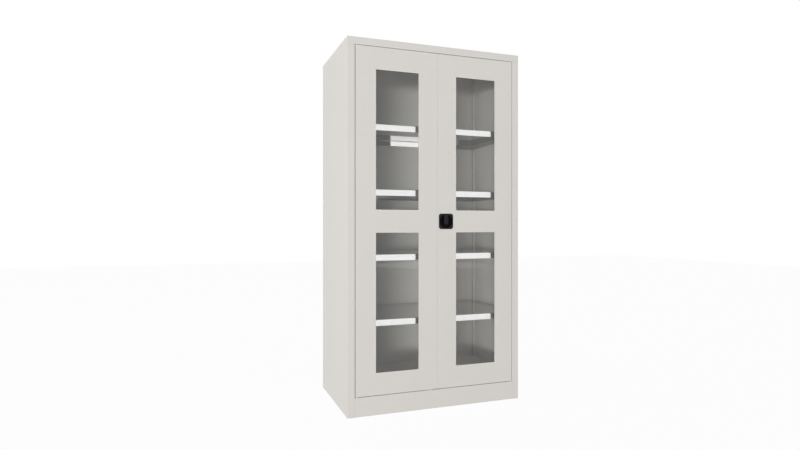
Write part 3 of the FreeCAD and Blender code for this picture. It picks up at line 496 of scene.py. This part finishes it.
class CABINET_OT_mould_trim(bpy.types.Operator):
    """Grained black plastic, rubber, the grey meeting strip and white nylon"""

    bl_idname = "cabinet.mould_trim"
    bl_label = "Mould the trim"

    dish_edge = 0.0015

    def execute(self, context):
        trim = context.scene.cabinet_trim
        dress(in_slot("black_plastic"), self.plastic(trim))
        dress(in_slot("black_rubber"), self.rubber(trim))
        dress(in_slot("grey_seal"), self.seal(trim))
        dress(in_slot("white_nylon"), self.nylon(trim))
        return {"FINISHED"}

    def plastic(self, trim):
        """Grained black of the rosette and the grip, with painted shade: a much darker black behind the face
        of the door, in the finger dish.
        """
        finish = Finish("black_plastic", Roughness=0.5, Specular_IOR_Level=0.07)
        cloud = finish.noise(scale=60.0, detail=3.0)
        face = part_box("right_door_pan")[0][1]
        # Painted shade: the plastic turns much darker behind the face of the door, in the finger dish
        dish_shade_mask = finish.along("Y", face - self.dish_edge, face + self.dish_edge)
        proud = finish.tinted(cloud, trim.plastic_colour, low=0.85, high=1.2)
        dish = finish.tinted(cloud, trim.dish_shade_colour, low=0.85, high=1.2)
        finish.feed(finish.mixed(dish_shade_mask, proud, dish), "Base Color")
        grain = finish.noise(scale=1800.0)
        finish.gloss(grain, low=0.42, high=0.58)
        finish.bump(grain, depth=0.00005, strength=0.8)
        return finish.material

    def rubber(self, trim):
        """Dusty black of the gaskets and buffers."""
        finish = Finish("black_rubber", Roughness=0.75)
        dust = finish.drift(trim.rubber_colour, scale=150.0, detail=4.0, low=0.8, high=1.5)
        finish.gloss(dust, low=0.68, high=0.84)
        finish.bump(finish.noise(scale=1200.0), depth=0.00004)
        return finish.material

    def seal(self, trim):
        """Soft light grey of the meeting strip."""
        finish = Finish("grey_seal", Roughness=0.6)
        finish.drift(trim.seal_colour, scale=45.0, detail=3.0, low=0.95, high=1.03)
        finish.bump(finish.noise(scale=900.0), depth=0.00003)
        return finish.material

    def nylon(self, trim):
        """Hard white of the bushes and the strike."""
        finish = Finish("white_nylon", Roughness=0.42)
        finish.drift(trim.nylon_colour, scale=120.0, detail=3.0, low=0.96, high=1.02)
        finish.bump(finish.noise(scale=1500.0), depth=0.00002)
        return finish.material


# Screws and buffers

def ring_faces(rings, turns):
    """Triangles of a grid of closed rings, with a fan above the first ring and one below the last."""
    here = np.arange(turns)
    after = (here + 1) % turns
    start = np.arange(rings - 1)[:, None] * turns
    a, b = start + here, start + after
    c, d = a + turns, b + turns
    top = np.full(turns, rings * turns)
    last = (rings - 1) * turns
    fan = np.stack([top, after, here], axis=-1)
    foot = np.stack([top + 1, last + here, last + after], axis=-1)
    sheet = np.concatenate([np.stack([a, b, d], axis=-1), np.stack([a, d, c], axis=-1)])
    return np.concatenate([fan, sheet.reshape(-1, 3), foot])


def ring_points(x, y, z):
    """Points of a grid of rings, followed by the middle of its first ring and the middle of its last."""
    grid = np.stack([x, y, z], axis=-1)
    return np.concatenate([grid.reshape(-1, 3), grid[:1].mean(axis=1), grid[-1:].mean(axis=1)])


def stand_in(name, copies, faces, material, body, node):
    """Piece made of copies of one closed grid, in place of a CAD node.

    The sign of its volume, the sum of the triple products of its triangles, turns its faces outwards."""
    shift = np.arange(len(copies))[:, None, None] * copies.shape[1]
    faces = (faces + shift).reshape(-1, 3)
    points = copies.reshape(-1, 3)
    corners = points[faces] - points.mean(axis=0)
    if np.einsum("ij,ij->", corners[:, 0], np.cross(corners[:, 1], corners[:, 2])) < 0:
        faces = faces[:, ::-1]
    mesh = bpy.data.meshes.new(name)
    mesh.from_pydata(points.tolist(), [], faces.tolist())
    mesh.polygons.foreach_set("use_smooth", np.ones(len(faces), dtype=bool))
    mesh.materials.append(bpy.data.materials[material])
    piece = bpy.data.objects.new(name, mesh)
    bpy.context.scene.collection.objects.link(piece)
    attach(piece, body)
    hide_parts(node)


class CABINET_OT_drive_screws(bpy.types.Operator):
    """Screws with domed heads and cross recesses on the retainers and the lock case"""

    bl_idname = "cabinet.drive_screws"
    bl_label = "Drive the screws"

    rings = 20
    turns = 48
    inner_share = 0.06
    crowding = 1.6
    dome_power = 8

    def execute(self, context):
        fixing = context.scene.cabinet_fixing
        for door in ("left", "right"):
            node = door + "_retainer_screws"
            places = self.retainer_places(door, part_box(node), fixing)
            self.drive(node, places, 0.0, door + "_door", fixing)
        low, high = (np.array(corner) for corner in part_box("lock_screws"))
        seat = high[1] - fixing.head_height
        middle = (low[0] + high[0]) / 2
        heights = (low[2] + fixing.head_radius, high[2] - fixing.head_radius)
        places = np.array([[middle, seat, height] for height in heights])
        self.drive("lock_screws", places, seat - low[1], "right_door", fixing)
        return {"FINISHED"}

    def retainer_places(self, door, screws, fixing):
        """Seats of the heads, evenly spread up both sides of the two windows of a door."""
        sides = np.array([screws[0][0] + fixing.head_radius, screws[1][0] - fixing.head_radius])
        shares = np.arange(1, fixing.screws_per_side + 1) / (fixing.screws_per_side + 1)
        heights = []
        for window in ("lower", "upper"):
            low, high = (corner[2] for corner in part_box("%s_%s_retainer" % (door, window)))
            low, high = low + fixing.retainer_reach, high - fixing.retainer_reach
            heights.append(low + (high - low) * shares)
        x, z = np.meshgrid(sides, np.concatenate(heights))
        return np.stack([x, np.full_like(x, screws[0][1]), z], axis=-1).reshape(-1, 3)

    def screw(self, shank, fixing):
        """Rings of one screw about +Y.

        The head is the dome h = H (1 - s^8)^(1/2) over the share s of its radius, less the recess.
        The recess is as deep as the larger of two crossed bars, each the product of a ramp across it
        and a ramp along it. A shank adds two rings below the seat."""
        share = 1.0 - (1.0 - np.linspace(self.inner_share, 1.0, self.rings)) ** self.crowding
        angle = np.linspace(0.0, 2.0 * np.pi, self.turns, endpoint=False)
        x = fixing.head_radius * np.outer(share, np.cos(angle))
        z = fixing.head_radius * np.outer(share, np.sin(angle))
        edge = fixing.recess_width / 4

        def bar(across, along):
            inside = np.clip((fixing.recess_width / 2 - np.abs(across)) / edge + 0.5, 0.0, 1.0)
            return inside * np.clip((fixing.recess_reach - np.abs(along)) / edge, 0.0, 1.0)

        dome = np.sqrt(1.0 - share[:, None] ** self.dome_power) * np.ones_like(x)
        y = fixing.head_height * dome - fixing.recess_depth * np.maximum(bar(x, z), bar(z, x))
        if shank > 0.0:
            stem = np.array([[0.0], [-shank]])
            x = np.concatenate([x, fixing.shank_radius * np.cos(angle) * np.ones_like(stem)])
            z = np.concatenate([z, fixing.shank_radius * np.sin(angle) * np.ones_like(stem)])
            y = np.concatenate([y, stem * np.ones_like(angle)])
        return x, y, z

    def drive(self, node, places, shank, body, fixing):
        """Copies of one screw, each turned on by the golden angle."""
        x, y, z = self.screw(shank, fixing)
        turn = np.arange(len(places)) * GOLDEN_ANGLE
        copies = np.stack([ring_points(x * c - z * s, y, x * s + z * c)
                           for c, s in zip(np.cos(turn), np.sin(turn))])
        stand_in(node + "_crossed", copies + places[:, None], ring_faces(*x.shape), "satin_zinc", body,
                 node)


class CABINET_OT_press_buffers(bpy.types.Operator):
    """Soft domed rubber buffers on the header's stop and the sill"""

    bl_idname = "cabinet.press_buffers"
    bl_label = "Press the buffers"

    rings = 12
    turns = 40
    inner_share = 0.05
    outline_power = 5
    crown_power = 7

    def execute(self, context):
        fixing = context.scene.cabinet_fixing
        low, high = (np.array(corner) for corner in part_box("door_buffers"))
        side = high[0] - fixing.buffer_width / 2
        rise = fixing.buffer_height / 2
        seats = ((high[2] - rise, high[1]), (low[2] + rise, high[1] - fixing.sill_sheet))
        copies = np.stack([ring_points(*self.pad(x, seat, z, seat - low[1], fixing))
                           for z, seat in seats for x in (-side, side)])
        stand_in("door_buffers_domed", copies, ring_faces(self.rings, self.turns), "black_rubber", "carcass",
                 "door_buffers")
        return {"FINISHED"}

    def pad(self, x, seat, z, depth, fixing):
        """Rings of one buffer that swells from its seat towards the door.

        The outline is the superellipse of power 5, and the depth over the share s of it is
        d (1 - s^7)^(1/2)."""
        share = np.sin(np.linspace(self.inner_share, 1.0, self.rings) * np.pi / 2)
        angle = np.linspace(0.0, 2.0 * np.pi, self.turns, endpoint=False)
        across, up = (np.sign(wave) * np.abs(wave) ** (2 / self.outline_power)
                      for wave in (np.cos(angle), np.sin(angle)))
        crown = np.sqrt(1.0 - share[:, None] ** self.crown_power) * np.ones_like(angle)
        return (x + fixing.buffer_width / 2 * np.outer(share, across), seat - depth * crown,
                z + fixing.buffer_height / 2 * np.outer(share, up))


# Stage

class CABINET_OT_set_stage(bpy.types.Operator):
    """Pale floor, soft light and the camera"""

    bl_idname = "cabinet.set_stage"
    bl_label = "Set the stage"

    def execute(self, context):
        scene = context.scene
        stage = scene.cabinet_stage
        self.lay_floor(scene, stage)
        self.light_sky(scene, stage)
        lamps = (("key_lamp", stage.key_place, stage.key_size, stage.key_power, False),
                 ("side_lamp", stage.side_place, stage.side_size, stage.side_power, False),
                 ("low_lamp", stage.low_place, stage.low_size, stage.low_power, True))
        for name, place, size, power, mirrored in lamps:
            self.hang_lamp(scene, name, place, size, power, mirrored)
        self.place_camera(scene, stage)
        scene.view_settings.view_transform = "Standard"
        return {"FINISHED"}

    def lay_floor(self, scene, stage):
        """Square floor under the cabinet, matt to the lamps and mostly plain white to the camera."""
        half = stage.floor_size / 2
        mesh = bpy.data.meshes.new("floor")
        mesh.from_pydata([(-half, -half, 0.0), (half, -half, 0.0), (half, half, 0.0), (-half, half, 0.0)],
                         [], [(0, 1, 2, 3)])
        floor = bpy.data.objects.new("floor", mesh)
        scene.collection.objects.link(floor)
        material = bpy.data.materials.new("pale_floor")
        tree = cleared(material)
        matt = add_node(tree, "BsdfDiffuse", Color=(*stage.floor_colour, 1.0)).outputs["BSDF"]
        glow = add_node(tree, "Emission", Color=WHITE, Strength=WHITE_LEVEL).outputs["Emission"]
        share = reckon(tree, "MULTIPLY", self.seen(tree), stage.floor_glow)
        add_node(tree, "OutputMaterial", Surface=mix_shaders(tree, share, matt, glow))
        mesh.materials.append(material)

    def light_sky(self, scene, stage):
        """Even light from all round, plain white where it is seen."""
        world = bpy.data.worlds.new("white_surroundings")
        scene.world = world
        tree = cleared(world)
        level = add_node(tree, "MapRange", Value=self.seen(tree), To_Min=stage.sky_level, To_Max=WHITE_LEVEL)
        sky = add_node(tree, "Background", Color=WHITE, Strength=level.outputs["Result"])
        add_node(tree, "OutputWorld", Surface=sky.outputs["Background"])

    def seen(self, tree):
        """1 for a ray that comes straight from the camera or by way of metal and glass."""
        path = add_node(tree, "LightPath").outputs
        mirrored = reckon(tree, "MAXIMUM", path["Is Camera Ray"], path["Is Glossy Ray"])
        return reckon(tree, "MAXIMUM", mirrored, path["Is Transmission Ray"])

    def hang_lamp(self, scene, name, place, size, power, mirrored):
        """Soft oval lamp aimed at the middle of the cabinet, which metal and glass mirror or not."""
        lamp = bpy.data.lights.new(name, "AREA")
        lamp.shape = "ELLIPSE"
        lamp.size, lamp.size_y = size
        lamp.energy = power
        holder = bpy.data.objects.new(name, lamp)
        holder.location = place
        way = np.mean(CAD_BOX, axis=0) - np.array(place)
        flat = math.hypot(way[0], way[1])
        holder.rotation_euler = (math.atan2(flat, -way[2]), 0.0, math.atan2(-way[0], way[1]))
        holder.visible_glossy = holder.visible_transmission = mirrored
        scene.collection.objects.link(holder)

    def place_camera(self, scene, stage):
        """Camera at the photograph's viewing angle."""
        lens = bpy.data.cameras.new("photo_camera")
        lens.sensor_width = stage.camera_sensor
        lens.lens = stage.camera_lens
        camera = bpy.data.objects.new("photo_camera", lens)
        camera.location = stage.camera_place
        camera.rotation_euler = (stage.camera_tilt, 0.0, stage.camera_turn)
        scene.collection.objects.link(camera)
        scene.camera = camera


class CABINET_PT_panel(bpy.types.Panel):
    """Steps of the cabinet in their order"""

    bl_idname = "CABINET_PT_panel"
    bl_label = "Cabinet"
    bl_space_type = "VIEW_3D"
    bl_region_type = "UI"
    bl_category = "Cabinet"

    def draw(self, context):
        for step in STEPS:
            self.layout.operator(step.bl_idname)
        for group in SETTINGS:
            settings = getattr(context.scene, group)
            box = self.layout.box()
            for name in settings.__annotations__:
                box.prop(settings, name)


STEPS = (CABINET_OT_coat_sheets, CABINET_OT_plate_shelves, CABINET_OT_plate_fittings,
         CABINET_OT_clear_panes, CABINET_OT_mould_trim, CABINET_OT_drive_screws,
         CABINET_OT_press_buffers, CABINET_OT_set_stage)
SETTINGS = {"cabinet_paint": PaintSettings, "cabinet_metal": MetalSettings,
            "cabinet_trim": TrimSettings, "cabinet_fixing": FixingSettings, "cabinet_stage": StageSettings}
CLASSES = (*SETTINGS.values(), *STEPS, CABINET_PT_panel)


def register():
    """Makes the settings, the steps and the panel known."""
    for kind in CLASSES:
        bpy.utils.register_class(kind)
    for name, kind in SETTINGS.items():
        setattr(bpy.types.Scene, name, bpy.props.PointerProperty(type=kind))


def unregister():
    """Takes them away again, the last first."""
    for name in SETTINGS:
        delattr(bpy.types.Scene, name)
    for kind in reversed(CLASSES):
        bpy.utils.unregister_class(kind)


def main():
    """Runs the steps in order."""
    register()
    for step in STEPS:
        group, name = step.bl_idname.split(".")
        getattr(getattr(bpy.ops, group), name)()


if __name__ == "__main__":
    main()
